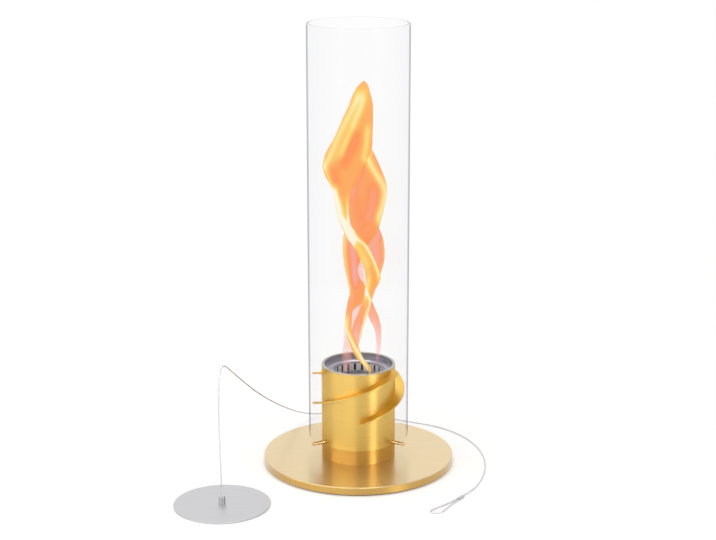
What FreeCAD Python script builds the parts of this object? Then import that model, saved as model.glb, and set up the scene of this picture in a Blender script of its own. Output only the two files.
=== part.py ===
import FreeCAD
import Part
import math
import os

# Tabletop fireplace, in millimetres. The origin is the centre of the pad's underside, where the
# fireplace stands on the table, and +Z runs up the axis of the burner tube and the glass chimney.

Vec = FreeCAD.Vector
UP = Vec(0, 0, 1)
CENTRE = Vec(0, 0, 0)
full_turn_deg = 360.0
quarter_turn_deg = full_turn_deg / 4
hexagon_sides = 6
hexagon_corner_share = 1 / math.sqrt(3)   # a hexagon's corner radius over its width across the flats
edge_limit_share = 0.4   # the most of a wall that a rounded edge takes
same_share = 0.01   # how close two lengths are to count as one

# Base plate and the pad under it
pad_t = 1.0
pad_inset = 2.0
plate_d = 172.0
plate_t = 7.0
plate_edge_r = 0.8

# Glass chimney
glass_d = 90.0
glass_wall = 2.5
glass_h = 373.8
glass_edge_r = 0.8

# Burner tube, an air gap inside the glass, and the ring in its lower end that the base screws pull down
air_gap = 9.2
tube_wall = 1.2
tube_h = 84.75
tube_edge = 0.25
foot_h = 7.0
foot_w = 10.0
foot_gap = 0.05

# Countersunk base screws
screw_count = 3
screw_first_deg = 30.0
screw_d = 4.0
screw_head_d = 7.6
screw_head_land = 0.3
screw_head_h = 2.1
screw_tip_gap = 1.0
screw_hole_gap = 0.2
screw_socket_af = 2.5
screw_socket_depth = 1.3
thread_gap = 0.05

# Air vanes, helical strips welded round the tube
vane_count = 3
vane_first_deg = -89.0
vane_t = 1.5
vane_turn_deg = 180.0
vane_lead = 85.0
vane_rim_gap = 0.65
vane_glass_gap = 0.7
vane_weld_gap = 0.05
vane_corner_r = 2.0

# Pins that carry the glass, each with its nut inside the tube
pin_count = 3
pin_first_deg = 90.0
pin_height = 16.7
pin_d = 3.4
pin_overhang = 2.2
pin_groove_depth = 0.4
pin_groove_gap = 0.3
pin_seat_gap = 0.2
pin_tip_r = 0.6
pin_thread_d = 2.5
pin_tail = 0.6
pin_hole_gap = 0.1
nut_af = 5.0
nut_t = 2.0

# Burner can, hung in the tube by its rim, with its floor over the pins' nuts
can_gap = 0.4
can_t = 0.5
can_nut_gap = 3.65
rim_t = 1.0
rim_inset = 0.1
rim_edge_r = 0.35

# Stepped ring that closes the can round the mouth
ring_gap = 0.1
ring_t = 0.5
ring_top_drop = 0.3
ring_depth = 4.6
ring_slope_run = 4.1
ring_slope_fall = 0.9
ring_step_run = 0.6
ring_step_fall = 0.5
ring_dip_run = 1.3
ring_dip_fall = 0.7
ring_flat_w = 2.8

# Slotted collar under the mouth, and the sieve and the fibre core it stands over
collar_setback = 1.2
collar_t = 0.6
collar_h = 8.8
collar_lip = 2.0
slot_count = 22
slot_w = 2.0
slot_top_drop = 0.7
slot_floor_gap = 0.3
sieve_gap = 0.1
sieve_t = 0.8
sieve_slot_count = 12
sieve_slot_w = 1.4
sieve_slot_in_r = 10.0
sieve_slot_rim = 2.2
core_gap = 0.3
core_top_gap = 0.1

# Snuffer: a disc that drops down the glass, with its stem and wire
snuffer_x = -117.0
snuffer_y = -103.3
snuffer_gap = 0.75
disc_t = 1.2
disc_edge_r = 0.3
stem_d = 5.6
stem_h = 6.8
stem_edge = 0.4
tenon_d = 3.0
tenon_gap = 0.05
wire_d = 1.2
wire_seat = 4.0
wire_gap = 0.1
sleeve_w = 3.6
sleeve_h = 2.0
sleeve_inset = 0.4

# The wire from the stem up, over and down to the table, and round behind the base to the sleeve
wire_run = [
    (-117.3, -103.3, 30.0), (-118.0, -103.4, 62.0), (-118.1, -103.3, 92.0), (-117.5, -103.0, 108.0),
    (-116.9, -102.6, 116.6), (-115.8, -99.4, 121.6), (-114.2, -93.8, 122.6), (-112.0, -87.4, 119.0),
    (-108.0, -76.0, 110.6), (-101.2, -55.5, 95.8), (-90.2, -20.0, 72.0), (-78.4, 20.0, 49.0),
    (-66.2, 60.0, 28.0), (-55.0, 94.0, 11.5), (-41.5, 115.5, 2.4), (-20.0, 123.0, 0.8),
    (8.0, 117.5, 0.7), (32.0, 107.0, 0.7), (54.0, 97.0, 0.7), (76.0, 86.0, 0.7), (97.0, 64.5, 0.7),
    (111.0, 34.5, 0.7), (116.6, 1.0, 0.7), (114.0, -32.0, 0.7), (105.8, -61.5, 0.7), (97.4, -77.2, 0.8)]
# Then through the sleeve, round the finger loop, and back into the sleeve beside itself
wire_loop = [
    (90.4, -86.3, 1.0), (85.4, -93.8, 1.0), (76.0, -103.2, 0.7), (66.6, -112.0, 0.7),
    (61.3, -117.4, 0.7), (61.8, -121.8, 0.7), (66.2, -123.6, 0.7), (71.4, -121.0, 0.7),
    (76.6, -110.6, 0.7), (82.0, -101.4, 0.8), (86.6, -94.6, 1.0), (91.2, -87.7, 1.0)]
bend_share = 0.45   # how much of the shorter run each bend of the wire takes

# Radii and heights that follow from the sizes above
plate_top = pad_t + plate_t
glass_r = glass_d / 2
glass_bore_r = glass_r - glass_wall
tube_r = glass_bore_r - air_gap
tube_bore_r = tube_r - tube_wall
tube_top = plate_top + tube_h
foot_r = tube_bore_r - foot_gap
foot_bore_r = foot_r - foot_w
screw_r = screw_d / 2
screw_circle_r = (foot_r + foot_bore_r) / 2
pin_r = pin_d / 2
pin_z = plate_top + pin_height
pin_groove_r = pin_r - pin_groove_depth
pin_thread_r = pin_thread_d / 2
nut_corner_r = nut_af * hexagon_corner_share
nut_seat_r = math.sqrt(tube_bore_r ** 2 - nut_corner_r ** 2)
glass_z = pin_z + pin_groove_r + pin_seat_gap
vane_in_r = tube_r + vane_weld_gap
vane_out_r = glass_bore_r - vane_glass_gap
vane_rise = vane_lead * vane_turn_deg / full_turn_deg
can_r = tube_bore_r - can_gap
can_bore_r = can_r - can_t
can_z = pin_z + nut_corner_r + can_nut_gap
rim_r = tube_r - rim_inset
rim_top = tube_top + rim_t
ring_r = can_bore_r - ring_gap
ring_skirt_r = ring_r - ring_t
ring_slope_r = ring_skirt_r - ring_slope_run
ring_step_r = ring_slope_r - ring_step_run
ring_dip_r = ring_step_r - ring_dip_run
mouth_r = ring_dip_r - ring_flat_w
ring_ledge_z = rim_top - ring_depth
ring_slope_z = ring_ledge_z - ring_slope_fall
ring_step_z = ring_slope_z - ring_step_fall
ring_flat_z = ring_step_z - ring_dip_fall
collar_r = mouth_r + collar_setback
collar_bore_r = collar_r - collar_t
collar_top = ring_flat_z - ring_t
collar_z = collar_top - collar_h
disc_r = glass_bore_r - snuffer_gap
stem_r = stem_d / 2
stem_top = disc_t + stem_h
wire_r = wire_d / 2
wire_start = (snuffer_x, snuffer_y, stem_top - wire_seat + wire_gap)
snuffer_place = Vec(snuffer_x, snuffer_y, 0)


def drum(radius, low, high):
    """Upright cylinder about the axis between two heights."""
    return Part.makeCylinder(radius, high - low, Vec(0, 0, low))


def hoop(radius, bore_r, low, high):
    """Upright cylinder with a bore right through it."""
    return drum(radius, low, high).cut(drum(bore_r, low, high))


def turned(corners):
    """Solid turned about the axis from (radius, height) corners."""
    outline = Part.makePolygon([Vec(r, 0, z) for r, z in corners + corners[:1]])
    return Part.Face(outline).revolve(CENTRE, UP, full_turn_deg)


def hexagon_bar(across_flats, low, high):
    """Upright six-sided bar about the axis."""
    corner = Vec(across_flats * hexagon_corner_share, 0, low)
    step_deg = full_turn_deg / hexagon_sides
    corners = [FreeCAD.Rotation(UP, k * step_deg).multVec(corner) for k in range(hexagon_sides + 1)]
    return Part.Face(Part.makePolygon(corners)).extrude(UP * (high - low))


def rounded(solid, radius, wall, *heights):
    """The solid with its level round edges at these heights rounded, within what its wall allows."""
    radius = min(radius, wall * edge_limit_share)
    near = radius * same_share
    level = [e for e in solid.Edges if e.BoundBox.ZLength < near]
    edges = [e for e in level if min(abs(e.BoundBox.ZMin - z) for z in heights) < near]
    return solid.makeFillet(radius, edges)


def spun(shape, degrees):
    """A copy turned about the axis of the fireplace."""
    return shape.rotated(CENTRE, UP, degrees)


def around(shape, count, first_deg):
    """Copies of a shape, evenly spaced about the axis."""
    return [spun(shape, first_deg + k * full_turn_deg / count) for k in range(count)]


def laid_outward(shape):
    """A shape made along the axis, laid over to point outwards at the pins' height."""
    return shape.rotated(CENTRE, Vec(0, 1, 0), quarter_turn_deg).translated(Vec(0, 0, pin_z))


def base_pad():
    return drum(plate_d / 2 - pad_inset, 0, pad_t)


def screw_outline(gap, length):
    """Corners of a countersunk screw, or with a gap of its hole, from the plate's underside up."""
    return [(0, pad_t),
            (screw_head_d / 2 + gap, pad_t),
            (screw_head_d / 2 + gap, pad_t + screw_head_land),
            (screw_r + gap, pad_t + screw_head_h),
            (screw_r + gap, pad_t + length),
            (0, pad_t + length)]


def base_plate():
    plate = rounded(drum(plate_d / 2, pad_t, plate_top), plate_edge_r, plate_t, pad_t, plate_top)
    hole = turned(screw_outline(screw_hole_gap, plate_t)).translated(Vec(screw_circle_r, 0, 0))
    for cut in around(hole, screw_count, screw_first_deg):
        plate = plate.cut(cut)
    return plate


def base_screws():
    length = plate_t + foot_h - screw_tip_gap
    socket = hexagon_bar(screw_socket_af, pad_t, pad_t + screw_socket_depth)
    screw = turned(screw_outline(0, length)).cut(socket)
    return around(screw.translated(Vec(screw_circle_r, 0, 0)), screw_count, screw_first_deg)


def tube_foot():
    foot = hoop(foot_r, foot_bore_r, plate_top, plate_top + foot_h)
    hole = drum(screw_r + thread_gap, plate_top, plate_top + foot_h)
    for cut in around(hole.translated(Vec(screw_circle_r, 0, 0)), screw_count, screw_first_deg):
        foot = foot.cut(cut)
    return foot


def burner_tube():
    tube = turned([(tube_bore_r, plate_top), (tube_r, plate_top), (tube_r, tube_top - tube_edge),
                   (tube_r - tube_edge, tube_top), (tube_bore_r, tube_top)])
    hole = laid_outward(drum(pin_thread_r + pin_hole_gap, foot_bore_r, glass_bore_r))
    for cut in around(hole, pin_count, pin_first_deg):
        tube = tube.cut(cut)
    return tube


def air_vane():
    """Level strip carried up a helix, its outer corners rounded."""
    top = tube_top - vane_rim_gap - vane_rise
    spine = Part.makeHelix(vane_lead, vane_rise, (vane_in_r + vane_out_r) / 2)
    section = [Vec(vane_in_r, 0, -vane_t), Vec(vane_out_r, 0, -vane_t), Vec(vane_out_r, 0, 0),
               Vec(vane_in_r, 0, 0)]
    sweep = Part.BRepOffsetAPI.MakePipeShell(spine)
    sweep.setBiNormalMode(UP)
    sweep.add(Part.makePolygon(section + section[:1]))
    sweep.build()
    sweep.makeSolid()
    vane = sweep.shape()
    corners = [e for e in vane.Edges
               if abs(e.Length - vane_t) < vane_t * same_share
               and math.hypot(e.CenterOfMass.x, e.CenterOfMass.y) > (vane_in_r + vane_out_r) / 2]
    return vane.makeFillet(vane_corner_r, corners).translated(Vec(0, 0, top))


def glass_rest_pin():
    end = glass_r + pin_overhang
    groove_in = glass_bore_r - pin_groove_gap
    groove_out = glass_r + pin_groove_gap
    pin = turned([(0, nut_seat_r - nut_t - pin_tail), (pin_thread_r, nut_seat_r - nut_t - pin_tail),
                  (pin_thread_r, tube_r), (pin_r, tube_r), (pin_r, groove_in), (pin_groove_r, groove_in),
                  (pin_groove_r, groove_out), (pin_r, groove_out), (pin_r, end), (0, end)])
    return laid_outward(rounded(pin, pin_tip_r, pin_r, end))


def pin_nuts():
    nut = hexagon_bar(nut_af, nut_seat_r - nut_t, nut_seat_r)
    bore = drum(pin_thread_r + thread_gap, nut_seat_r - nut_t, nut_seat_r)
    return around(laid_outward(nut.cut(bore)), pin_count, pin_first_deg)


def glass_cylinder():
    glass = hoop(glass_r, glass_bore_r, glass_z, glass_z + glass_h)
    return rounded(glass, glass_edge_r, glass_wall, glass_z, glass_z + glass_h)


def burner_can():
    can = turned([(0, can_z), (can_r, can_z), (can_r, tube_top), (rim_r, tube_top), (rim_r, rim_top),
                  (can_bore_r, rim_top), (can_bore_r, can_z + can_t), (0, can_z + can_t)])
    return rounded(can, rim_edge_r, rim_t, rim_top)


def burner_ring():
    """Stepped sheet ring: a skirt in the can, a sloping ledge with one step, and a flat round the mouth."""
    face = [(ring_slope_r, ring_slope_z), (ring_step_r, ring_step_z), (ring_dip_r, ring_flat_z),
            (mouth_r, ring_flat_z)]
    back = [(r, z - ring_t) for r, z in reversed(face)]
    skirt_top = rim_top - ring_top_drop
    return turned([(ring_r, skirt_top), (ring_skirt_r, skirt_top), (ring_skirt_r, ring_ledge_z)] + face
                  + back + [(ring_r, ring_ledge_z - ring_t)])


def burner_collar():
    collar = turned([(collar_r, collar_z), (collar_r, collar_top), (collar_bore_r, collar_top),
                     (collar_bore_r, collar_z + collar_t), (collar_bore_r - collar_lip, collar_z + collar_t),
                     (collar_bore_r - collar_lip, collar_z)])
    slot_low = collar_z + collar_t + sieve_t + slot_floor_gap
    slot_h = collar_top - slot_top_drop - slot_low
    slot = Part.makeBox(collar_r, slot_w, slot_h, Vec(collar_r / 2, -slot_w / 2, slot_low))
    return collar.cut(Part.makeCompound(around(slot, slot_count, 0)))


def burner_sieve():
    low = collar_z + collar_t
    radius = collar_bore_r - sieve_gap
    slot_len = radius - sieve_slot_rim - sieve_slot_in_r
    slot = Part.makeBox(slot_len, sieve_slot_w, sieve_t, Vec(sieve_slot_in_r, -sieve_slot_w / 2, low))
    return drum(radius, low, low + sieve_t).cut(Part.makeCompound(around(slot, sieve_slot_count, 0)))


def fibre_core():
    return drum(can_bore_r - core_gap, can_z + can_t, collar_z - core_top_gap)


def snuffer_disc():
    disc = rounded(drum(disc_r, 0, disc_t), disc_edge_r, disc_t, 0, disc_t)
    return disc.cut(drum(tenon_d / 2 + tenon_gap, 0, disc_t)).translated(snuffer_place)


def snuffer_stem():
    hole_r = wire_r + wire_gap
    stem = turned([(0, 0), (tenon_d / 2, 0), (tenon_d / 2, disc_t), (stem_r, disc_t),
                   (stem_r, stem_top - stem_edge), (stem_r - stem_edge, stem_top), (hole_r, stem_top),
                   (hole_r, stem_top - wire_seat), (0, stem_top - wire_seat)])
    return stem.translated(snuffer_place)


def bent_path(points):
    """Straight runs joined by tangent arcs, each as large as its two runs allow."""
    edges = []
    radii = []
    reached = points[0]
    for before, corner, after in zip(points, points[1:], points[2:]):
        way_in = (before - corner).normalize()
        way_out = (after - corner).normalize()
        reach = bend_share * min((before - corner).Length, (after - corner).Length)
        half_turn = (math.pi - way_in.getAngle(way_out)) / 2
        radius = reach / math.tan(half_turn)
        middle = corner + (way_in + way_out).normalize() * (radius / math.cos(half_turn) - radius)
        start = corner + way_in * reach
        edges.append(Part.LineSegment(reached, start).toShape())
        reached = corner + way_out * reach
        edges.append(Part.Arc(start, middle, reached).toShape())
        radii.append(radius)
    edges.append(Part.LineSegment(reached, points[-1]).toShape())
    return Part.Wire(edges), radii


def snuffer_wire():
    points = [Vec(*p) for p in [wire_start] + wire_run + wire_loop]
    path, radii = bent_path(points)
    section = Part.Wire(Part.makeCircle(wire_r, points[0], points[1] - points[0]))
    wire = path.makePipeShell([section], True, False)
    print("wire length", round(path.Length, 1), "volume over section times length",
          round(wire.Volume / (math.pi * wire_r ** 2 * path.Length), 4))
    print("wire bend radii", [round(r, 1) for r in radii])
    return wire


def wire_sleeve(wire):
    """Flat-sided crimp round the two runs of wire that lie side by side in it."""
    first_in, first_out = [Vec(*p) for p in wire_loop[:2]]
    back_in, back_end = [Vec(*p) for p in wire_loop[-2:]]
    near = (first_in + back_end) / 2
    far = (first_out + back_in) / 2
    along = (far - near).normalize()
    across = along.cross(UP) * ((sleeve_w - sleeve_h) / 2)
    rise = UP * (sleeve_h / 2)
    side = along.cross(UP) * (sleeve_w / 2)
    start = near + along * sleeve_inset
    outline = Part.Wire([Part.LineSegment(start + across + rise, start - across + rise).toShape(),
                         Part.Arc(start - across + rise, start - side, start - across - rise).toShape(),
                         Part.LineSegment(start - across - rise, start + across - rise).toShape(),
                         Part.Arc(start + across - rise, start + side, start + across + rise).toShape()])
    bar = Part.Face(outline).extrude(along * ((far - near).Length - 2 * sleeve_inset))
    return bar.cut(wire)


def write_part(node, solids):
    """One file for a node, of one solid or of a group of like solids."""
    shape = Part.makeCompound(solids) if isinstance(solids, list) else solids
    shape.exportStep("parts/" + node + ".step")


os.makedirs("parts", exist_ok=True)
wire_solid = snuffer_wire()
nodes = {
    "base_pad": base_pad(),
    "base_plate": base_plate(),
    "base_screws": base_screws(),
    "tube_foot": tube_foot(),
    "burner_tube": burner_tube(),
    "pin_nuts": pin_nuts(),
    "glass_cylinder": glass_cylinder(),
    "burner_can": burner_can(),
    "burner_ring": burner_ring(),
    "burner_collar": burner_collar(),
    "burner_sieve": burner_sieve(),
    "fibre_core": fibre_core(),
    "snuffer_disc": snuffer_disc(),
    "snuffer_stem": snuffer_stem(),
    "snuffer_wire": wire_solid,
    "wire_sleeve": wire_sleeve(wire_solid),
}
for number, vane in enumerate(around(air_vane(), vane_count, vane_first_deg), 1):
    nodes["air_vane_" + str(number)] = vane
for number, pin in enumerate(around(glass_rest_pin(), pin_count, pin_first_deg), 1):
    nodes["glass_rest_pin_" + str(number)] = pin
for node, solids in nodes.items():
    write_part(node, solids)
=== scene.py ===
import math

import bpy
import numpy as np
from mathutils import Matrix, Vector


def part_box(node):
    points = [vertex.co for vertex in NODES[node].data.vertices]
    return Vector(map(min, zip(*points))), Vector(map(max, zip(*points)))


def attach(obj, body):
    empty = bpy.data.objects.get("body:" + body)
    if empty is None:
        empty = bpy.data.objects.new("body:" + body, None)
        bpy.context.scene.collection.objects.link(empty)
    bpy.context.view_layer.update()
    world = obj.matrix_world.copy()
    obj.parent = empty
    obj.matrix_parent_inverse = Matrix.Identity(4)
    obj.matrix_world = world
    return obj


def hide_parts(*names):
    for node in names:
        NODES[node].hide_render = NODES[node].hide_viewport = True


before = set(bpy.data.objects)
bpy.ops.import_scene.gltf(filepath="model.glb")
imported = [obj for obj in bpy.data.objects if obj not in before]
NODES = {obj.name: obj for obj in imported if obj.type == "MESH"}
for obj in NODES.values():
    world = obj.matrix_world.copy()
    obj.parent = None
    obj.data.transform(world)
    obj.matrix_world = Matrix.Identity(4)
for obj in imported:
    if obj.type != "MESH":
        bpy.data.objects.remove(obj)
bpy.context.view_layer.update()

# Looks of a tabletop fireplace: brushed gold base and burner tube with air vanes, a tall glass
# chimney, a steel burner with its flame, and a steel snuffer on a wire rope. All lengths are metres
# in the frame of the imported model, with the table at zero height and the fireplace's axis on Z.

bl_info = {
    "name": "Tabletop fireplace",
    "version": (1, 0, 0),
    "blender": (4, 5, 0),
    "location": "View3D > Sidebar > Fireplace",
    "description": "Dresses the tabletop fireplace, lights its flame and sets the studio round it",
    "category": "Object",
}

MM = 0.001
TURN = 2 * math.pi


def linear(code):
    """Linear colour of an sRGB hex code: the low part is a straight line, the rest a power of 2.4."""
    parts = [int(code[k:k + 2], 16) / 255 for k in (0, 2, 4)]
    return [p / 12.92 if p <= 0.04045 else ((p + 0.055) / 1.055) ** 2.4 for p in parts]


def colour_property(name, description, code):
    """A colour that a user can change, given as a hex code."""
    return bpy.props.FloatVectorProperty(
        name=name, description=description, default=linear(code), size=3, min=0, max=1, subtype="COLOR")


def length_property(name, description, size):
    """A length that a user can change, in metres."""
    return bpy.props.FloatProperty(
        name=name, description=description, default=size, min=0, unit="LENGTH", subtype="DISTANCE")


class FireplaceColours(bpy.types.PropertyGroup):
    gold: colour_property("Gold", "Burner tube", "DAB562")
    # painted reflection: the tube's foot below the glass is a darker, redder gold, for the gold plate that
    # it mirrors
    foot: colour_property("Foot gold", "Band at the tube's foot, under the glass", "C6984C")
    vane: colour_property("Vane gold", "Air vanes round the tube", "D6B25C")
    pin: colour_property("Pin gold", "Pins that carry the glass", "D2B684")
    plate: colour_property("Plate gold", "Top of the base plate", "CAB07A")
    # painted shade: the base plate's side is darker than its top, for the shadowed table that it mirrors
    plate_side_shade: colour_property("Plate side gold", "Side of the base plate", "C29A4A")
    steel: colour_property("Steel", "Hidden fixings", "DEDCD6")
    can: colour_property("Can steel", "Rim and outside of the burner can", "B2AA9C")
    # painted shade: the inside of the burner can, below its rim, is near black for the shade in it
    can_inside_shade: colour_property("Soot", "Inside of the burner can", "242220")
    ring: colour_property("Ring steel", "Ring round the burner's mouth", "A5A2AB")
    blasted: colour_property("Blasted steel", "Slotted collar under the mouth", "F0F0F2")
    # painted shade: the sieve is a darker steel for the shade that falls on it inside the collar
    sieve: colour_property("Sieve steel", "Floor of the collar", "88888B")
    satin: colour_property("Snuffer steel", "Disc and stem of the snuffer", "BABABC")
    rope: colour_property("Wire rope", "Wire of the snuffer", "CDCED1")
    wool: colour_property("Ceramic wool", "Core that holds the fuel", "DCD8CC")
    rubber: colour_property("Pad", "Pad under the base plate", "1D1C1B")
    floor: colour_property("Floor", "Table top under the fireplace", "F0F0F0")


class FireplaceSizes(bpy.types.PropertyGroup):
    glass_wall: length_property("Glass wall", "Thickness of the glass chimney", 2.5 * MM)
    glass_edge: length_property("Glass edge", "Radius of its fire-polished edges", 0.8 * MM)
    wire_diameter: length_property("Wire diameter", "Over the strands of the wire rope", 1.2 * MM)
    wire_lay: length_property("Wire lay", "Length of one turn of its strands", 8.0 * MM)
    # Real brush lines are too fine to show, so these are as wide as it takes
    brush_width: length_property("Brush width", "Width of one line of the brushed finish", 0.4 * MM)
    brush_length: length_property("Brush length", "Length of one line of the brushed finish", 45.0 * MM)


# Material building

def add(tree, kind, inputs=None, **settings):
    """Adds one node, sets its properties, and fills its sockets with values or links."""
    node = tree.nodes.new(kind)
    for name, value in settings.items():
        setattr(node, name, value)
    for name, value in (inputs or {}).items():
        if isinstance(value, bpy.types.NodeSocket):
            tree.links.new(value, node.inputs[name])
        else:
            node.inputs[name].default_value = value
    return node


def new_material(name):
    """An empty node material and its output node."""
    material = bpy.data.materials.new(name)
    material.use_nodes = True
    material.node_tree.nodes.clear()
    return material, material.node_tree, add(material.node_tree, "ShaderNodeOutputMaterial")


def opaque(colour):
    """A colour with full alpha, as a colour socket wants it."""
    return [*colour, 1.0]


ACROSS = (0, 1, 0)              # highlights that run from front to back
UPRIGHT = (0, 0, 1)             # highlights that run up and down
GOLD_EDGE = "F3E1C4"            # tint of what lacquered gold mirrors at a slant
PLATE_LACQUER = (1.0, 0.26)     # weight and roughness
TUBE_LACQUER = (0.15, 0.25)
SIDE_FADE = 0.4 * MM            # length over which the colour of a top passes into that under it
SCRATCH_DEPTH = 0.05 * MM
SCRATCH_TONES = (0.92, 1.05)    # brightness of the darkest and lightest lines
NOISE_SPAN = (0.3, 0.7)         # nearly all values of a noise lie in it
CLOUD_SIZE = 60 * MM            # patches over which the roughness drifts
ROUGHNESS_DRIFT = 0.04


def brushed_metal(name, colour, stretch, lines, roughness, anisotropy=0.0, coat=(0.0, 0.0),
                  edge="FFFFFF", top=None, under=None, out=None):
    """Metal drawn under a grinding belt: fine lines one way, so highlights stretch across them.

    stretch is the direction that highlights run in, and lines the size of one scratch along X, Y and Z.
    The lines change colour, roughness and height a little. coat is the weight and roughness of a clear
    lacquer, and edge the tint of what it mirrors where the eye meets its side. Below the height top the
    metal has the colour under, which is painted shade and reflection, and its highlights run upright,
    but for what lies as far from the axis as out.
    """
    material, tree, output = new_material(name)
    place = add(tree, "ShaderNodeTexCoord").outputs["Object"]
    squeeze = add(tree, "ShaderNodeMapping", {"Vector": place, "Scale": [1 / size for size in lines]})
    scratch = add(tree, "ShaderNodeTexNoise", {
        "Vector": squeeze.outputs["Vector"], "Scale": 1.0, "Detail": 3.0}).outputs["Fac"]
    cloud = add(tree, "ShaderNodeTexNoise", {"Vector": place, "Scale": 1 / CLOUD_SIZE})
    base = opaque(colour)
    grain = add(tree, "ShaderNodeCombineXYZ", dict(zip("XYZ", stretch))).outputs["Vector"]
    # painted shade and reflection: below top the darker colour under replaces the metal's own colour
    if under is not None:
        spot = add(tree, "ShaderNodeSeparateXYZ", {"Vector": place})
        plain = add(tree, "ShaderNodeMapRange", {
            "Value": spot.outputs["Z"], "From Min": top - SIDE_FADE, "From Max": top}).outputs["Result"]
        if out is not None:
            level = add(tree, "ShaderNodeCombineXYZ", {"X": spot.outputs["X"], "Y": spot.outputs["Y"]})
            away = add(tree, "ShaderNodeVectorMath", {0: level.outputs["Vector"]}, operation="LENGTH")
            outer = add(tree, "ShaderNodeMapRange", {
                "Value": away.outputs["Value"], "From Min": out - SIDE_FADE, "From Max": out})
            plain = add(tree, "ShaderNodeMath", {
                0: plain, 1: outer.outputs["Result"]}, operation="MAXIMUM").outputs["Value"]
        base = add(tree, "ShaderNodeMix", {
            0: plain, 6: opaque(under), 7: base}, data_type="RGBA").outputs[2]
        grain = add(tree, "ShaderNodeMix", {
            0: plain, 4: UPRIGHT, 5: stretch}, data_type="VECTOR").outputs[1]
    tone = add(tree, "ShaderNodeMapRange", {
        "Value": scratch, "From Min": NOISE_SPAN[0], "From Max": NOISE_SPAN[1],
        "To Min": SCRATCH_TONES[0], "To Max": SCRATCH_TONES[1]})
    paint = add(tree, "ShaderNodeHueSaturation", {"Color": base, "Value": tone.outputs["Result"]})
    rough = add(tree, "ShaderNodeMapRange", {
        "Value": cloud.outputs["Fac"],
        "To Min": roughness - ROUGHNESS_DRIFT, "To Max": roughness + ROUGHNESS_DRIFT})
    bump = add(tree, "ShaderNodeBump", {"Height": scratch, "Strength": 0.1, "Distance": SCRATCH_DEPTH})
    metal = add(tree, "ShaderNodeBsdfPrincipled", {
        "Base Color": paint.outputs["Color"], "Metallic": 1.0, "Roughness": rough.outputs["Result"],
        "Anisotropic": anisotropy, "Tangent": grain, "Normal": bump.outputs["Normal"],
        "Coat Weight": coat[0], "Coat Roughness": coat[1], "Specular Tint": opaque(linear(edge))})
    tree.links.new(metal.outputs["BSDF"], output.inputs["Surface"])
    return material


# Tint from where the eye meets the wall head-on to where it meets its side; the two darkest stops are
# painted shade, a grey line along the glass's sides
GLASS_TONES = [
    (0.0, "FEFEFE"), (0.3, "FDFDFD"), (0.72, "FBFBFC"), (0.78, "E0E0E2"), (1.0, "CECED2")]
GLASS_IOR = 1.47
GLASS_ROUGHNESS = 0.1
GLASS_SHINE = 0.03      # share of the light that meets its wall as thick, shiny glass
RIM_SHINE = 0.3         # the same at its two ends


def toned(ramp, tones):
    """Sets a colour ramp's stops, given as places from 0 to 1 and hex codes, and returns its colour."""
    stops = ramp.color_ramp.elements
    stops[0].color, stops[1].color = [opaque(linear(tones[k][1])) for k in (0, -1)]
    for spot, code in tones[1:-1]:
        stops.new(spot).color = opaque(linear(code))
    return ramp.outputs["Color"]


def glass_material():
    """Borosilicate tube: clear and faintly grey, with a painted darker line of shade where the eye meets
    its side.

    The line is on the outer wall and the top end alone, and the ends shine more than the walls. Only
    light from the air meets a shine, because the mirroring within the wall leaves grain.
    """
    material, tree, output = new_material("borosilicate_glass")
    slant = add(tree, "ShaderNodeLayerWeight", {"Blend": 0.5})
    edge_shaded = add(tree, "ShaderNodeAttribute", attribute_name="painted_edge_shade")
    shine = add(tree, "ShaderNodeAttribute", attribute_name="wall_shine")
    # painted shade: on the outer wall and the top end the tint turns grey where the eye meets them at a
    # slant
    line = add(tree, "ShaderNodeMath", {
        0: slant.outputs["Facing"], 1: edge_shaded.outputs["Fac"]}, operation="MULTIPLY")
    tint = toned(add(tree, "ShaderNodeValToRGB", {"Fac": line.outputs["Value"]}), GLASS_TONES)
    wall = add(tree, "ShaderNodeBsdfPrincipled", {
        "Base Color": tint, "Roughness": GLASS_ROUGHNESS, "IOR": GLASS_IOR, "Transmission Weight": 1.0})
    clear = add(tree, "ShaderNodeBsdfTransparent", {"Color": tint})
    inside = add(tree, "ShaderNodeNewGeometry").outputs["Backfacing"]
    outside = add(tree, "ShaderNodeMath", {
        0: shine.outputs["Fac"], 1: inside}, operation="SUBTRACT", use_clamp=True)
    glass = add(tree, "ShaderNodeMixShader", {
        0: outside.outputs["Value"], 1: clear.outputs["BSDF"], 2: wall.outputs["BSDF"]})
    tree.links.new(glass.outputs["Shader"], output.inputs["Surface"])
    return material


RUBBER_GRAIN = 1.5 * MM
RUBBER_RELIEF = 0.1 * MM


def rubber_material(colour):
    """Sheet rubber: dull and dark, with a fine grain from the mould."""
    material, tree, output = new_material("sheet_rubber")
    place = add(tree, "ShaderNodeTexCoord")
    grain = add(tree, "ShaderNodeTexNoise", {
        "Vector": place.outputs["Object"], "Scale": 1 / RUBBER_GRAIN})
    bump = add(tree, "ShaderNodeBump", {
        "Height": grain.outputs["Fac"], "Strength": 0.3, "Distance": RUBBER_RELIEF})
    rubber = add(tree, "ShaderNodeBsdfPrincipled", {
        "Base Color": opaque(colour), "Roughness": 0.8, "Normal": bump.outputs["Normal"]})
    tree.links.new(rubber.outputs["BSDF"], output.inputs["Surface"])
    return material


FIBRE_SIZE = 2 * MM      # tufts of fibres, because single ones are too fine to show
FIBRE_RELIEF = 0.6 * MM


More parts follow.
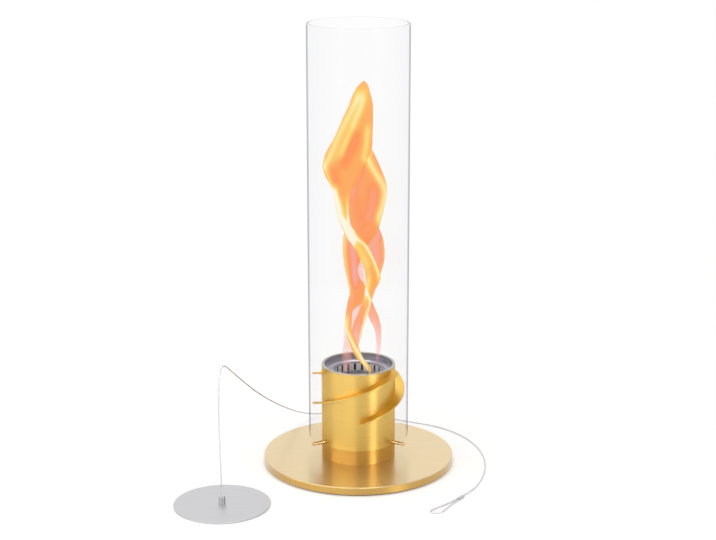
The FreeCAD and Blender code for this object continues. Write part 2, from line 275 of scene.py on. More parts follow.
def wool_material(colour):
    """Ceramic wool: matt, off-white, with crossing fibres and painted shade in the small gaps between
    them.
    """
    material, tree, output = new_material("ceramic_wool")
    place = add(tree, "ShaderNodeTexCoord")
    fibre = add(tree, "ShaderNodeTexNoise", {
        "Vector": place.outputs["Object"], "Scale": 1 / FIBRE_SIZE, "Detail": 6.0, "Distortion": 1.5})
    # painted shade: a noise darkens the wool to as little as 0.45 of its colour, for the gaps between
    # fibres
    light = add(tree, "ShaderNodeMapRange", {
        "Value": fibre.outputs["Fac"], "To Min": 0.45, "To Max": 1.0})
    shade = add(tree, "ShaderNodeHueSaturation", {
        "Color": opaque(colour), "Value": light.outputs["Result"]})
    bump = add(tree, "ShaderNodeBump", {
        "Height": fibre.outputs["Fac"], "Strength": 0.8, "Distance": FIBRE_RELIEF})
    wool = add(tree, "ShaderNodeBsdfPrincipled", {
        "Base Color": shade.outputs["Color"], "Roughness": 0.95, "Normal": bump.outputs["Normal"]})
    tree.links.new(wool.outputs["BSDF"], output.inputs["Surface"])
    return material


# Colour from the coolest gas to the hottest
FLAME_TONES = [
    (0.0, "F6A9A0"), (0.2, "FF9A70"), (0.31, "FF924E"), (0.44, "FFA055"),
    (0.6, "FFB95F"), (0.78, "FFD672"), (0.92, "FFEBA6"), (1.0, "FFFAE4")]


def flame_material():
    """Burning gas: it only glows, from pink through orange to cream, and thins out to nothing."""
    material, tree, output = new_material("flame_gas")
    heat = add(tree, "ShaderNodeAttribute", attribute_name="flame_heat")
    veil = add(tree, "ShaderNodeAttribute", attribute_name="flame_veil")
    glow = toned(add(tree, "ShaderNodeValToRGB", {"Fac": heat.outputs["Fac"]}), FLAME_TONES)
    gas = add(tree, "ShaderNodeBsdfPrincipled", {
        "Base Color": opaque(linear("000000")), "Roughness": 1.0, "Specular IOR Level": 0.0,
        "Emission Color": glow, "Emission Strength": 1.0, "Alpha": veil.outputs["Fac"]})
    tree.links.new(gas.outputs["BSDF"], output.inputs["Surface"])
    return material


# Shape building

def grid_faces(rows, columns, close_rows=False):
    """Quads of a grid whose columns close round: each joins a point to its neighbours in both ways."""
    r = np.arange(rows if close_rows else rows - 1)[:, None]
    c = np.arange(columns)[None, :]
    up, on = (r + 1) % rows, (c + 1) % columns
    corners = [r * columns + c, r * columns + on, up * columns + on, up * columns + c]
    return np.stack(corners, -1).reshape(-1, 4)


def capped_faces(rows, columns):
    """Faces of a grid whose columns close round, with one face over each end."""
    last = (rows - 1) * columns
    first_end, last_end = list(range(columns))[::-1], list(range(last, last + columns))
    return [*grid_faces(rows, columns).tolist(), first_end, last_end]


def new_piece(name, points, faces, material, body):
    """A smooth mesh piece at the origin, riding on a body."""
    mesh = bpy.data.meshes.new(name)
    mesh.from_pydata(points.reshape(-1, 3).tolist(), [], faces)
    mesh.polygons.foreach_set("use_smooth", np.ones(len(mesh.polygons), bool))
    mesh.materials.append(material)
    mesh.update()
    piece = bpy.data.objects.new(name, mesh)
    bpy.context.scene.collection.objects.link(piece)
    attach(piece, body)
    return piece


def mark_points(piece, marks):
    """Stores named values, one for each point, for the piece's material."""
    for name, values in marks.items():
        layer = piece.data.attributes.new(name, "FLOAT", "POINT")
        layer.data.foreach_set("value", values.ravel().astype(np.float32))


def eased(at, knots, values):
    """Cubic through the knots: at each one its slope is that of the line between its neighbours."""
    slopes = np.gradient(values, knots)
    k = np.clip(np.searchsorted(knots, at) - 1, 0, len(knots) - 2)
    step = knots[k + 1] - knots[k]
    t = (at - knots[k]) / step
    return ((1 + 2 * t) * (1 - t) ** 2 * values[k] + t * (1 - t) ** 2 * step * slopes[k]
            + t * t * (3 - 2 * t) * values[k + 1] + t * t * (t - 1) * step * slopes[k + 1])


def dress(names, material):
    """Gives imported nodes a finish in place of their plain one."""
    for name in names:
        for slot in NODES[name].material_slots:
            slot.material = material


def wall_radius(name, height):
    """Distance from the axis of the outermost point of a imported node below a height."""
    mesh = NODES[name].data
    points = np.zeros(len(mesh.vertices) * 3)
    mesh.vertices.foreach_get("co", points)
    points = points.reshape(-1, 3)
    low = points[points[:, 2] < height]
    return np.hypot(low[:, 0], low[:, 1]).max()


# Snuffer wire: out of the stem, over, down behind the base, round to the right, through the sleeve,
# round the finger loop and back into the sleeve. Its points were set along the real one's line
WIRE_ROUTE = [
    (-0.1170, -0.1033, 0.0041), (-0.1173, -0.1033, 0.0300), (-0.1180, -0.1034, 0.0620),
    (-0.1181, -0.1033, 0.0920), (-0.1175, -0.1030, 0.1080), (-0.1169, -0.1026, 0.1166),
    (-0.1158, -0.0994, 0.1216), (-0.1142, -0.0938, 0.1226), (-0.1120, -0.0874, 0.1190),
    (-0.1080, -0.0760, 0.1106), (-0.1012, -0.0555, 0.0958), (-0.0902, -0.0200, 0.0720),
    (-0.0784, 0.0200, 0.0490), (-0.0662, 0.0600, 0.0280), (-0.0550, 0.0940, 0.0115),
    (-0.0415, 0.1155, 0.0024), (-0.0200, 0.1230, 0.0008), (0.0080, 0.1175, 0.0007),
    (0.0320, 0.1070, 0.0007), (0.0540, 0.0970, 0.0007), (0.0760, 0.0860, 0.0007),
    (0.0970, 0.0645, 0.0007), (0.1110, 0.0345, 0.0007), (0.1166, 0.0010, 0.0007),
    (0.1140, -0.0320, 0.0007), (0.1058, -0.0615, 0.0007), (0.0974, -0.0772, 0.0008),
    (0.0904, -0.0863, 0.0010), (0.0854, -0.0938, 0.0010), (0.0760, -0.1032, 0.0007),
    (0.0666, -0.1120, 0.0007), (0.0613, -0.1174, 0.0007), (0.0618, -0.1218, 0.0007),
    (0.0662, -0.1236, 0.0007), (0.0714, -0.1210, 0.0007), (0.0766, -0.1106, 0.0007),
    (0.0820, -0.1014, 0.0008), (0.0866, -0.0946, 0.0010), (0.0912, -0.0877, 0.0010)]
WIRE_STEPS = 40           # points between two knots of the route
WIRE_RISE = 0.15          # length from the stem along which the wire stands or bends over
WIRE_SETTLE = 0.1         # length after it over which the wire comes to lie level
STRANDS = 6
STRAND_STEPS = 5          # points round one strand
ROPE_GRAIN = 2 * MM       # size of the spots of its finish


def wire_line():
    """Points along the route's smooth line, which has the route as its control points."""
    curve = bpy.data.curves.new("wire_line", "CURVE")
    curve.dimensions = "3D"
    spline = curve.splines.new("NURBS")
    spline.points.add(len(WIRE_ROUTE) - 1)
    spline.points.foreach_set("co", np.column_stack([WIRE_ROUTE, np.ones(len(WIRE_ROUTE))]).ravel())
    spline.order_u = 3
    spline.use_endpoint_u = True
    spline.resolution_u = WIRE_STEPS
    holder = bpy.data.objects.new("wire_line", curve)
    line = bpy.data.meshes.new_from_object(holder)
    points = np.zeros(len(line.vertices) * 3)
    line.vertices.foreach_get("co", points)
    bpy.data.meshes.remove(line)
    bpy.data.objects.remove(holder)
    bpy.data.curves.remove(curve)
    return points.reshape(-1, 3)


def rope_surface(line, diameter, lay):
    """Six strands laid round a line: at each angle the radius is that of the strand there, a circle of
    a third of the rope's radius set two thirds out, and the whole section turns once in each lay.

    The section is squared to X where the line stands, and to Z where it lies.
    """
    way = np.gradient(line, axis=0)
    way /= np.linalg.norm(way, axis=1)[:, None]
    along = np.concatenate([[0], np.cumsum(np.linalg.norm(np.diff(line, axis=0), axis=1))])
    settle = np.clip((along - WIRE_RISE) / WIRE_SETTLE, 0, 1)[:, None]
    aside = np.cross(way, (1 - settle) * np.array([1.0, 0, 0]) + settle * np.array([0, 0, 1.0]))
    aside /= np.linalg.norm(aside, axis=1)[:, None]
    above = np.cross(way, aside)
    angle = np.arange(STRANDS * STRAND_STEPS) * TURN / (STRANDS * STRAND_STEPS)
    within = (angle + TURN / STRANDS / 2) % (TURN / STRANDS) - TURN / STRANDS / 2
    out, strand = diameter / 3, diameter / 6
    radius = out * np.cos(within) + np.sqrt(np.maximum(strand ** 2 - (out * np.sin(within)) ** 2, 0))
    turned = angle[None, :] + TURN * along[:, None] / lay
    return line[:, None, :] + radius[None, :, None] * (
        np.cos(turned)[..., None] * aside[:, None, :] + np.sin(turned)[..., None] * above[:, None, :])


# Glass chimney

GLASS_SIDES = 192
GLASS_WALL_ROWS = 24
GLASS_EDGE_ROWS = 6


def glass_surface(wall, edge):
    """A rounded rectangle, from bore to outside and from end to end, turned about the axis.

    Returns the points, and by name whether each bears the painted shade of the side line and how much it
    shines.
    """
    low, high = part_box("glass_cylinder")
    out, bore = high.x, high.x - wall
    bend = np.linspace(0, TURN / 4, GLASS_EDGE_ROWS)
    hold = edge / 4    # a first row this near each edge keeps the wall's shading straight
    rise = np.linspace(low.z + edge + hold, high.z - edge - hold, GLASS_WALL_ROWS)
    still = np.ones(len(rise))
    radius = np.concatenate([
        out * still, out - edge + edge * np.cos(bend), bore + edge - edge * np.sin(bend),
        bore * still, bore + edge - edge * np.cos(bend), out - edge + edge * np.sin(bend)])
    height = np.concatenate([
        rise, high.z - edge + edge * np.sin(bend), high.z - edge + edge * np.cos(bend),
        rise[::-1], low.z + edge - edge * np.sin(bend), low.z + edge - edge * np.cos(bend)])
    angle = np.arange(GLASS_SIDES) * TURN / GLASS_SIDES
    points = np.stack([radius[:, None] * np.cos(angle), radius[:, None] * np.sin(angle),
                       np.repeat(height[:, None], GLASS_SIDES, 1)], -1)
    on_wall = (height > low.z + edge) & (height < high.z - edge)
    # painted shade: the outer wall and the top end bear the grey side line
    edge_shaded = np.repeat((on_wall & (radius == out)) | (height >= high.z - edge), GLASS_SIDES)
    shine = np.repeat(np.where(on_wall, GLASS_SHINE, RIM_SHINE), GLASS_SIDES)
    return points, {"painted_edge_shade": edge_shaded, "wall_shine": shine}


# Fibre core

WOOL_SIDES = 160
WOOL_ROWS = 64
WOOL_POWER = 0.25               # of sine and cosine, which squares the puck's section
WOOL_ROOM = 0.3 * MM            # kept between the puck and the space it fills, for the fluff
WOOL_FLUFF = (0.004, 0.006)     # height of the waves, as a share of radius and height
# Each wave's crests in a turn round the puck and in a full turn of its section, and its start in radians
WOOL_WAVES = [(23, 17, 0), (0, 31, 3), (41, -29, 0)]


def wool_surface():
    """A puck whose radius and height follow a rounded square, roughened by waves that don't repeat."""
    low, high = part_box("fibre_core")
    middle, half = (low.z + high.z) / 2, (high.z - low.z) / 2
    swing = np.linspace(-TURN / 4, TURN / 4, WOOL_ROWS)[:, None]
    angle = (np.arange(WOOL_SIDES) * TURN / WOOL_SIDES)[None, :]
    reach = np.abs(np.cos(swing)) ** WOOL_POWER
    climb = np.sign(np.sin(swing)) * np.abs(np.sin(swing)) ** WOOL_POWER
    tufts, rings, twills = [
        np.sin(around * angle + along * swing + start) for around, along, start in WOOL_WAVES]
    fluff = (tufts * rings + twills) / 2
    radius = (high.x - WOOL_ROOM) * reach * (1 + WOOL_FLUFF[0] * fluff)
    height = middle + (half - WOOL_ROOM) * climb * (1 + WOOL_FLUFF[1] * fluff)
    height = np.clip(height, low.z, high.z)
    return np.stack([radius * np.cos(angle), radius * np.sin(angle), height + 0 * angle], -1)


# Flame: tongues and veils of gas, drawn as closed ribbons. Each is listed upwards as height,
# left edge and right edge in mm

MAIN_TONGUE = [
    (106, -2.0, -0.6), (113, -4.4, 1.4), (120, -5.8, 3.2), (130, -4.9, 5.9), (144, 0.5, 9.9),
    (152, 3.2, 11.8), (162, 5.4, 14.8), (174, 6.3, 19.7), (183, 5.4, 17.9), (194, 1.4, 13.0),
    (204, -3.9, 8.5), (213, -10.1, 1.0), (221, -14.1, -5.7), (232, -18.4, -8.3), (245, -20.9, -8.3),
    (258, -23.2, -3.9), (270, -29.3, 2.3), (278, -31.0, 6.6), (287, -29.2, 11.0), (303, -20.6, 12.4),
    (318, -13.9, 12.7), (330, -8.2, 12.3), (340, -4.2, 10.0), (346, -0.4, 8.2), (350, 4.0, 5.6)]
SIDE_TONGUE = [
    (83, 10.2, 11.4), (91, 4.8, 10.9), (100, -2.0, 4.8), (113, -8.2, -0.4), (126, -11.5, -5.8),
    (137, -11.8, -5.6), (145, -10.7, -4.2), (151, -9.6, 3.0), (159, -7.8, 6.4), (167, -9.3, 6.2),
    (173, -10.5, 1.6), (178, -11.6, -0.3), (183, -12.5, -0.4), (188, -13.2, 1.6), (196, -14.0, 2.0),
    (204, -13.8, 9.0), (210, -13.2, 13.2), (216, -11.9, 17.0), (225, -10.1, 19.8), (240, -9.2, 23.4),
    (255, -5.6, 25.1), (276, 3.1, 18.0), (289, 10.4, 11.6)]
RIGHT_VEIL = [
    (84, 15.6, 16.4), (104, 16.3, 19.9), (115, 15.8, 20.7), (123, 14.5, 20.7), (134, 9.5, 18.3),
    (144, 7.7, 14.2), (152, 6.8, 11.8), (162, 9.5, 14.8), (174, 11.2, 19.7), (188, 8.5, 23.3),
    (199, 6.7, 23.2), (213, 6.7, 20.0), (221, 12.9, 16.4), (226, 14.3, 15.0)]
LEFT_VEIL = [
    (84, -13.5, -10.0), (95, -14.4, -6.2), (104, -14.4, -5.8), (119, -13.0, -7.6), (130, -12.9, -8.5),
    (138, -11.4, -10.2)]
MIDDLE_VEIL = [
    (100, -7.0, -1.0), (112, -7.0, 0.5), (126, -8.0, 3.0), (140, -7.0, 6.0), (152, -5.0, 6.0),
    (164, -6.0, 6.0), (178, -9.0, 5.0), (192, -10.0, 3.0), (204, -10.0, 1.0)]
# Streaks of hotter or cooler gas: the heat they add, their half width in mm, and height and place in mm
MAIN_STREAKS = [
    (0.26, 3.0, [(279, -29), (287, -25), (299, -20), (313, -13), (326, -6), (336, -1)]),
    (0.26, 3.0, [(290, -14), (299, -10), (307, -6), (316, -3), (324, 1), (334, 4)]),
    (0.16, 7.0, [(284, -22), (299, -15), (313, -8), (326, -2), (340, 3)]),
    (0.25, 2.0, [(250, -21), (262, -24), (276, -29)]),
    (-0.26, 5.0, [(282, -12), (293, -6), (302, -3)]),
    (0.30, 3.0, [(276, 8), (283, 5), (294, 7), (306, 8)]),
    (-0.16, 3.5, [(252, -17), (263, -19), (273, -21)]),
    (0.60, 3.2, [(212, -6), (222, -11), (232, -16), (243, -18), (254, -20)]),
    (0.45, 2.5, [(214, -6), (221, -7), (229, -8), (240, -8)]),
    (0.42, 1.7, [(178, 18), (190, 14), (200, 9), (205, 6), (210, 0), (216, -5)]),
    (0.22, 4.0, [(188, 7), (198, 3), (208, -3), (216, -8)]),
    (0.30, 2.5, [(158, 6), (165, 8), (174, 9)]),
    (0.50, 1.7, [(115, 1), (122, 3), (134, 6), (144, 9), (151, 11), (158, 9), (166, 5)]),
    (-0.18, 3.0, [(106, -1), (113, -2), (122, -2), (130, 0)])]
SIDE_STREAKS = [
    (0.45, 3.6, [(228, 18), (240, 22), (250, 24), (257, 22), (265, 17), (274, 11), (282, 8), (288, 9)]),
    (-0.22, 2.2, [(248, -6), (258, -1), (266, 2), (276, 4)]),
    (-0.25, 5.0, [(228, 9), (240, 12), (252, 13)]),
    (-0.13, 5.0, [(206, 6), (216, 3), (226, 0), (240, -2), (248, -3)]),
    (0.28, 2.0, [(164, -8), (175, -10), (187, -12), (198, -13), (210, -12)]),
    (-0.42, 3.0, [(172, -3), (188, -4), (200, -5)]),
    (0.45, 2.4, [(90, 8), (96, 5), (103, 1), (112, -4), (120, -8), (127, -11), (134, -11)])]
RIGHT_STREAKS = [
    (0.38, 3.0, [(158, 13), (171, 18), (180, 20), (187, 23), (194, 23), (204, 22)]),
    (0.12, 2.0, [(106, 19), (117, 20), (127, 18), (137, 16), (147, 13)])]
# Each ribbon: name, edges, depth by height in mm, lean, fatness, heat by height, streaks, density by
# height, and softness of the edges
FLAME_RIBBONS = [
    ("flame_main", MAIN_TONGUE,
     [(106, 3), (125, 2), (150, -3), (180, -7), (250, -7), (290, -5), (350, 0)], 0.5, 0.4,
     [(106, 0.2), (125, 0.35), (150, 0.5), (200, 0.55), (225, 0.6), (260, 0.5), (300, 0.5), (350, 0.55)],
     MAIN_STREAKS, [(106, 0.1), (116, 0.4), (150, 0.7), (200, 0.8), (346, 0.85), (350, 0.6)], 0.1),
    ("flame_side", SIDE_TONGUE,
     [(83, 0), (100, -5), (125, -5), (165, 0), (200, 5), (216, 8), (289, 8)], -0.4, 0.4,
     [(83, 0.45), (100, 0.55), (125, 0.5), (150, 0.42), (180, 0.42), (210, 0.45), (289, 0.45)],
     SIDE_STREAKS, [(83, 0.3), (95, 0.75), (130, 0.7), (170, 0.7), (289, 0.8)], 0.1),
    ("flame_veil_right", RIGHT_VEIL, [(84, 6), (120, 9), (226, 9)], 0.2, 0.35,
     [(84, 0.0), (120, 0.1), (140, 0.22), (180, 0.14), (226, 0.14)], RIGHT_STREAKS,
     [(84, 0.03), (104, 0.25), (120, 0.4), (140, 0.6), (170, 0.7), (210, 0.7), (226, 0.5)], 0.05),
    ("flame_veil_left", LEFT_VEIL, [(84, 4), (138, 6)], 0.2, 0.35,
     [(84, 0.0), (138, 0.05)], [], [(84, 0.15), (110, 0.3), (138, 0.05)], 0.6),
    ("flame_veil_middle", MIDDLE_VEIL, [(100, 3), (204, 4)], 0.1, 0.2,
     [(100, 0.0), (204, 0.05)], [], [(100, 0.02), (112, 0.2), (140, 0.32), (180, 0.4), (204, 0.3)], 0.3)]
STREAK_FADE = 10.0       # mm over which a streak fades at its ends
RIBBON_TIP = 0.05 * MM   # least half width of a ribbon
FLAME_ROWS = 200
FLAME_SIDES = 64


def ribbon_surface(edges, middles, lean, fatness):
    """A ribbon of gas: at each height an ellipse from the left edge to the right one, leaning in depth.

    middles lists how far back the ribbon lies, as height and depth in mm, lean is how much a point
    moves back for each step to the right, and fatness its thickness over its width. Returns the points
    and their place across, from -1 at the left edge to 1 at the right.
    """
    z, left, right = np.array(edges, float).T * MM
    height = np.linspace(z[0], z[-1], FLAME_ROWS)[:, None]
    left, right = eased(height, z, left), eased(height, z, right)
    back = np.interp(height, *np.array(middles, float).T * MM)
    angle = (np.arange(FLAME_SIDES) * TURN / FLAME_SIDES)[None, :]
    half = np.maximum((right - left) / 2, RIBBON_TIP)
    across = np.cos(angle) + 0 * height
    x = (left + right) / 2 + half * across
    y = back + half * (lean * across + fatness * np.sin(angle))
    return np.stack([x, y, height + 0 * angle], -1), across


def gas_heat(points, body, streaks):
    """Heat of the gas from 0 to 1: that of its body at each height, and a bell curve across each streak,
    which fades beyond the streak's ends."""
    x, z = points[..., 0] / MM, points[..., 2] / MM
    heat = np.interp(z, *np.array(body, float).T)
    for rise, width, line in streaks:
        at_z, at_x = np.array(line, float).T
        past_end = np.maximum(np.maximum(at_z[0] - z, z - at_z[-1]), 0)
        share = np.clip(1 - past_end / STREAK_FADE, 0, 1)
        heat = heat + rise * share * np.exp(-((x - np.interp(z, at_z, at_x)) / width) ** 2)
    return np.clip(heat, 0, 1)


def flame_ribbon(material, name, edges, middles, lean, fatness, body, streaks, veils, soft):
    """One ribbon as a closed piece with its heat and its density on its points.

    veils lists the density by height, and soft is the share of it that is lost at the edges.
    """
    points, across = ribbon_surface(edges, middles, lean, fatness)
    veil = np.interp(points[..., 2] / MM, *np.array(veils, float).T) * (1 - soft * across ** 2)
    piece = new_piece(name, points, capped_faces(FLAME_ROWS, FLAME_SIDES), material, "burner")
    mark_points(piece, {"flame_heat": gas_heat(points, body, streaks), "flame_veil": veil})
    piece.visible_shadow = False
    return piece


# Operators, one for each piece or group of like pieces

FOOT_DROP = 4.5 * MM      # from the lower end of the glass down to the tube's foot, where its painted reflection starts
PLATE_EDGE = 0.3 * MM     # from the plate's top down to where the painted shade of its side starts
RIM_DEPTH = 0.5 * MM      # from the can's top down to where its painted shade starts
RIM_HEIGHT = 2.5 * MM     # from the can's top down to where only its wall is left
WALL_SLACK = 0.05 * MM    # within which a point counts as on the can's outside


class FIREPLACE_OT_base(bpy.types.Operator):
    """Brushed gold on the plate, tube, vanes and pins, steel on the hidden fixings, rubber on the pad"""
    bl_idname = "fireplace.base"
    bl_label = "Dress the base"

    def execute(self, context):
        colours, sizes = context.scene.fireplace_colours, context.scene.fireplace_sizes
        wide, long = sizes.brush_width, sizes.brush_length
        # painted shade: below its top edge the plate gets the darker side colour
        plate = brushed_metal(
            "brushed_gold_plate_shaded_side", colours.plate, ACROSS, (long, wide, wide), roughness=0.3, anisotropy=0.8,
            coat=PLATE_LACQUER, top=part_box("base_plate")[1].z - PLATE_EDGE, under=colours.plate_side_shade)
        round_lines = (long, long, wide)
        tube = brushed_metal(
            # painted reflection: below the glass the tube's foot gets the darker, redder foot colour, for
            # the plate that it mirrors
            "brushed_gold_tube_painted_foot", colours.gold, UPRIGHT, round_lines, roughness=0.34, anisotropy=0.7,
            coat=TUBE_LACQUER, edge=GOLD_EDGE,
            top=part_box("glass_cylinder")[0].z - FOOT_DROP, under=colours.foot)
        vane = brushed_metal(
            "brushed_gold_vane", colours.vane, UPRIGHT, round_lines, roughness=0.34, anisotropy=0.7,
            coat=TUBE_LACQUER, edge=GOLD_EDGE)
        pin = brushed_metal("polished_gold", colours.pin, UPRIGHT, round_lines, roughness=0.2)
        fixing = brushed_metal("fixing_steel", colours.steel, UPRIGHT, round_lines, roughness=0.35)
        dress(["base_plate"], plate)
        dress(["burner_tube"], tube)
        dress([n for n in NODES if n.startswith("air_vane")], vane)
        dress([n for n in NODES if n.startswith("glass_rest_pin")], pin)
        dress(["base_screws", "tube_foot", "pin_nuts"], fixing)
        dress(["base_pad"], rubber_material(colours.rubber))
        return {"FINISHED"}


class FIREPLACE_OT_glass(bpy.types.Operator):
    """Clear glass chimney with fire-polished edges"""
    bl_idname = "fireplace.glass"
    bl_label = "Make the glass"

    def execute(self, context):
        sizes = context.scene.fireplace_sizes
        points, marks = glass_surface(sizes.glass_wall, sizes.glass_edge)
        faces = grid_faces(*points.shape[:2], close_rows=True).tolist()
        piece = new_piece("glass_chimney", points, faces, glass_material(), "glass")
        mark_points(piece, marks)
        piece.visible_shadow = False
        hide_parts("glass_cylinder")
        return {"FINISHED"}


class FIREPLACE_OT_burner(bpy.types.Operator):
    """Steel finishes on the can, ring, collar and sieve, with painted shade inside the can and on the
    sieve, and the wool core that holds the fuel
    """
    bl_idname = "fireplace.burner"
    bl_label = "Dress the burner"

    def execute(self, context):
        colours, sizes = context.scene.fireplace_colours, context.scene.fireplace_sizes
        lines = (sizes.brush_length, sizes.brush_length, sizes.brush_width)
        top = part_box("burner_can")[1].z
        # painted shade: below the rim the can's inside is near black, while its outer wall keeps the steel
        # colour
        can = brushed_metal(
            "drawn_steel_shaded_inside", colours.can, UPRIGHT, lines, roughness=0.32, anisotropy=0.3,
            top=top - RIM_DEPTH, under=colours.can_inside_shade,
            out=wall_radius("burner_can", top - RIM_HEIGHT) - WALL_SLACK)
        ring = brushed_metal(
            "smoked_steel", colours.ring, UPRIGHT, lines, roughness=0.32, anisotropy=0.3)
        collar = brushed_metal("blasted_steel", colours.blasted, UPRIGHT, lines, roughness=0.65)
        # painted shade: the sieve gets the darker steel
        sieve = brushed_metal("sieve_steel_painted_shade", colours.sieve, UPRIGHT, lines, roughness=0.5)
        dress(["burner_can"], can)
        dress(["burner_ring"], ring)
        dress(["burner_collar"], collar)
        dress(["burner_sieve"], sieve)
        points = wool_surface()
        faces = capped_faces(*points.shape[:2])
        core = new_piece("wool_core", points, faces, wool_material(colours.wool), "burner")
        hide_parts("fibre_core")
        return {"FINISHED"}


class FIREPLACE_OT_snuffer(bpy.types.Operator):
    """Satin steel on the snuffer's disc, stem and wire sleeve"""
    bl_idname = "fireplace.snuffer"
    bl_label = "Dress the snuffer"

    def execute(self, context):
        colours, sizes = context.scene.fireplace_colours, context.scene.fireplace_sizes
        wide, long = sizes.brush_width, sizes.brush_length
        disc = brushed_metal(
            "satin_steel", colours.satin, ACROSS, (long, wide, wide), roughness=0.4, anisotropy=0.4)
        stem = brushed_metal(
            "turned_steel", colours.satin, UPRIGHT, (long, long, wide), roughness=0.3, anisotropy=0.4)
        dress(["snuffer_disc"], disc)
        dress(["snuffer_stem", "wire_sleeve"], stem)
        return {"FINISHED"}


class FIREPLACE_OT_wire(bpy.types.Operator):
    """Wire rope from the snuffer's stem to its finger loop"""
    bl_idname = "fireplace.wire"
    bl_label = "Make the wire"

    def execute(self, context):
        colours, sizes = context.scene.fireplace_colours, context.scene.fireplace_sizes
        spots = (ROPE_GRAIN, ROPE_GRAIN, ROPE_GRAIN)
        steel = brushed_metal("wire_rope_steel", colours.rope, UPRIGHT, spots, roughness=0.35)
        line = wire_line()
        points = rope_surface(line, sizes.wire_diameter, sizes.wire_lay)
        faces = capped_faces(*points.shape[:2])
        piece = new_piece("snuffer_rope", points, faces, steel, "snuffer")
        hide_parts("snuffer_wire")
        return {"FINISHED"}


class FIREPLACE_OT_flame(bpy.types.Operator):
    """Flame of twisting tongues that stands in the burner's mouth"""
    bl_idname = "fireplace.flame"
    bl_label = "Light the flame"

    def execute(self, context):
        gas = flame_material()
        for ribbon in FLAME_RIBBONS:
            flame_ribbon(gas, *ribbon)
        return {"FINISHED"}


CAMERA_PLACE = (0.0, -1.4440, 0.5732)
CAMERA_TILT = 0.2654          # radians below level
CAMERA_LENS = 84.55           # millimetres, for a 36 mm sensor
PHOTO_WIDTH = 716             # pixels
AXIS_OFFSET = -0.41           # pixels that its frame is moved aside, to set the axis as photographed
LAMPS = [
    # name, place, aim, width, height, watts
    ("key_lamp", (0.9, -0.9, 0.2), (0, 0, 0.08), 0.4, 0.4, 4.6),
    ("side_lamp", (-0.8, -0.75, 0.22), (0, 0, 0.08), 1.9, 0.44, 6.8),
    ("top_lamp", (0.0, 0.1, 1.6), (0, 0, 0.0), 1.2, 1.2, 10.0),
    ("back_lamp", (0.0, 2.0, 1.1), (0, 0, 0.5), 4.0, 1.6, 5.0)]
TABLE_SIDE = 12.0
PAPER_REACH = (0.16, 0.6)     # from the axis: where the lit paper starts to fade, and where it ends
PAPER_GLOW = 0.24             # white that the lit paper has of itself
GLOW_FULL = 0.98              # share of the fade after which the table is plain white
SKY_LIGHT = 0.45              # strength of the surround as a source of light


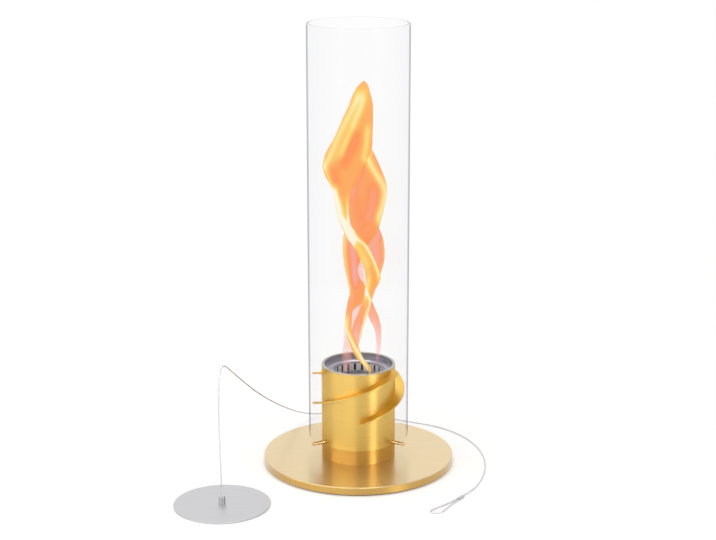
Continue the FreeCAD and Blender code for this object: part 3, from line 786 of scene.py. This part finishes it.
class FIREPLACE_OT_stage(bpy.types.Operator):
    """Pale floor, white surround, soft lamps and the camera"""
    bl_idname = "fireplace.stage"
    bl_label = "Set the stage"

    def seen(self, tree):
        """1 for a ray from the camera, a gloss or a glass, and 0 for one that only carries light."""
        path = add(tree, "ShaderNodeLightPath")
        share = path.outputs["Is Camera Ray"]
        for kind in ("Is Glossy Ray", "Is Transmission Ray"):
            share = add(tree, "ShaderNodeMath", {
                0: share, 1: path.outputs[kind]}, operation="MAXIMUM").outputs["Value"]
        return share

    def floor(self, colour):
        """White table top: lit like paper round the fireplace, to keep its shadow, and white beyond."""
        material, tree, output = new_material("white_table_top")
        place = add(tree, "ShaderNodeTexCoord")
        away = add(tree, "ShaderNodeVectorMath", {0: place.outputs["Object"]}, operation="LENGTH")
        far = add(tree, "ShaderNodeMapRange", {
            "Value": away.outputs["Value"], "From Min": PAPER_REACH[0], "From Max": PAPER_REACH[1]},
            interpolation_type="SMOOTHSTEP")
        fade = add(tree, "ShaderNodeMix", {
            0: far.outputs["Result"], 6: opaque(colour), 7: opaque(linear("000000"))}, data_type="RGBA")
        paper = add(tree, "ShaderNodeBsdfDiffuse", {"Color": fade.outputs[2]})
        glow = add(tree, "ShaderNodeMapRange", {
            "Value": far.outputs["Result"], "From Max": GLOW_FULL,
            "To Min": PAPER_GLOW, "To Max": 1.0})
        share = add(tree, "ShaderNodeMath", {
            0: self.seen(tree), 1: glow.outputs["Result"]}, operation="MULTIPLY")
        shine = add(tree, "ShaderNodeEmission", {
            "Color": opaque(linear("FFFFFF")), "Strength": share.outputs["Value"]})
        both = add(tree, "ShaderNodeAddShader", {0: paper.outputs["BSDF"], 1: shine.outputs["Emission"]})
        tree.links.new(both.outputs["Shader"], output.inputs["Surface"])
        mesh = bpy.data.meshes.new("table_top")
        half = TABLE_SIDE / 2
        corners = [(-half, -half, 0), (half, -half, 0), (half, half, 0), (-half, half, 0)]
        mesh.from_pydata(corners, [], [(0, 1, 2, 3)])
        mesh.materials.append(material)
        table = bpy.data.objects.new("table_top", mesh)
        bpy.context.scene.collection.objects.link(table)

    def surround(self, scene):
        """White all round to the eye, and a dimmer white as a source of light."""
        world = bpy.data.worlds.new("white_surround")
        world.use_nodes = True
        tree = world.node_tree
        tree.nodes.clear()
        level = add(tree, "ShaderNodeMapRange", {
            "Value": self.seen(tree), "To Min": SKY_LIGHT, "To Max": 1.0})
        sky = add(tree, "ShaderNodeBackground", {
            "Color": opaque(linear("FFFFFF")), "Strength": level.outputs["Result"]})
        add(tree, "ShaderNodeOutputWorld", {"Surface": sky.outputs["Background"]})
        scene.world = world

    def execute(self, context):
        scene = context.scene
        scene.view_settings.view_transform = "Standard"
        self.floor(scene.fireplace_colours.floor)
        self.surround(scene)
        for name, place, aim, width, height, watts in LAMPS:
            light = bpy.data.lights.new(name, "AREA")
            light.shape = "RECTANGLE"
            light.size, light.size_y, light.energy = width, height, watts
            lamp = bpy.data.objects.new(name, light)
            lamp.location = place
            lamp.rotation_euler = (Vector(aim) - Vector(place)).to_track_quat("-Z", "Y").to_euler()
            lamp.visible_transmission = False    # no grain where the glass bends a lamp's light
            scene.collection.objects.link(lamp)
        camera = bpy.data.objects.new("camera", bpy.data.cameras.new("camera"))
        camera.data.lens = CAMERA_LENS
        camera.data.shift_x = AXIS_OFFSET / PHOTO_WIDTH
        camera.location = CAMERA_PLACE
        camera.rotation_euler = (TURN / 4 - CAMERA_TILT, 0, 0)
        scene.collection.objects.link(camera)
        scene.camera = camera
        return {"FINISHED"}


OPERATORS = [
    FIREPLACE_OT_stage, FIREPLACE_OT_wire, FIREPLACE_OT_base, FIREPLACE_OT_glass,
    FIREPLACE_OT_burner, FIREPLACE_OT_snuffer, FIREPLACE_OT_flame]


class FIREPLACE_PT_panel(bpy.types.Panel):
    bl_label = "Fireplace"
    bl_idname = "FIREPLACE_PT_panel"
    bl_space_type = "VIEW_3D"
    bl_region_type = "UI"
    bl_category = "Fireplace"

    def draw(self, context):
        for group in (context.scene.fireplace_colours, context.scene.fireplace_sizes):
            for key in group.__annotations__:
                self.layout.prop(group, key)
        for operator in OPERATORS:
            self.layout.operator(operator.bl_idname)


CLASSES = [FireplaceColours, FireplaceSizes, *OPERATORS, FIREPLACE_PT_panel]


def register():
    for made in CLASSES:
        bpy.utils.register_class(made)
    bpy.types.Scene.fireplace_colours = bpy.props.PointerProperty(type=FireplaceColours)
    bpy.types.Scene.fireplace_sizes = bpy.props.PointerProperty(type=FireplaceSizes)


def unregister():
    del bpy.types.Scene.fireplace_sizes
    del bpy.types.Scene.fireplace_colours
    for made in reversed(CLASSES):
        bpy.utils.unregister_class(made)


def main():
    register()
    bpy.ops.fireplace.stage()
    bpy.ops.fireplace.wire()
    bpy.ops.fireplace.base()
    bpy.ops.fireplace.glass()
    bpy.ops.fireplace.burner()
    bpy.ops.fireplace.snuffer()
    bpy.ops.fireplace.flame()


if __name__ == "__main__":
    main()
